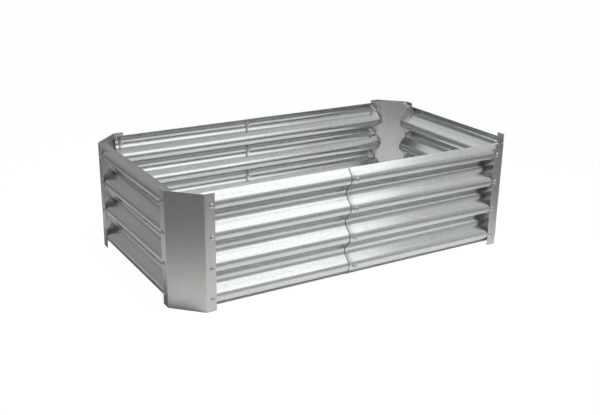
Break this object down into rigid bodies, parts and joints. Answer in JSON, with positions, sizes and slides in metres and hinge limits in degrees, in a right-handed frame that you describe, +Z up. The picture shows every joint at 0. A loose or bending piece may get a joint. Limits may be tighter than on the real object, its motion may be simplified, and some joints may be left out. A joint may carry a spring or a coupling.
{
  "type": "raised garden bed",
  "caption": "Open-bottomed raised garden bed of corrugated galvanised sheet walls bolted between chamfered corner posts.",
  "frame": {"origin": "on the ground, in the middle of the bed's outer box", "axes": "+X along the long walls towards the right-hand end, +Y from the front wall to the back wall, +Z up"},
  "size_m": [1.0572, 0.6072, 0.3],
  "materials": {
    "post_sheet": "smooth galvanised sheet, satin",
    "wall_sheet": "bright galvanised sheet, rolled in waves",
    "bolt": "zinc plated, bright",
    "nut": "zinc plated, dull"
  },
  "bodies": {
    "root": {"post_front_left": "post_sheet", "post_front_right": "post_sheet", "post_back_right": "post_sheet", "post_back_left": "post_sheet", "panel_front_left": "wall_sheet", "panel_front_right": "wall_sheet", "panel_back_left": "wall_sheet", "panel_back_right": "wall_sheet", "panel_left_end": "wall_sheet", "panel_right_end": "wall_sheet", "bolts_front_left_long": "bolt", "bolts_front_seam": "bolt", "bolts_front_right_long": "bolt", "bolts_front_right_short": "bolt", "bolts_back_right_short": "bolt", "bolts_back_right_long": "bolt", "bolts_back_seam": "bolt", "bolts_back_left_long": "bolt", "bolts_back_left_short": "bolt", "bolts_front_left_short": "bolt", "nuts_front_left_long": "nut", "nuts_front_seam": "nut", "nuts_front_right_long": "nut", "nuts_front_right_short": "nut", "nuts_back_right_short": "nut", "nuts_back_right_long": "nut", "nuts_back_seam": "nut", "nuts_back_left_long": "nut", "nuts_back_left_short": "nut", "nuts_front_left_short": "nut"}
  },
  "joints": []
}
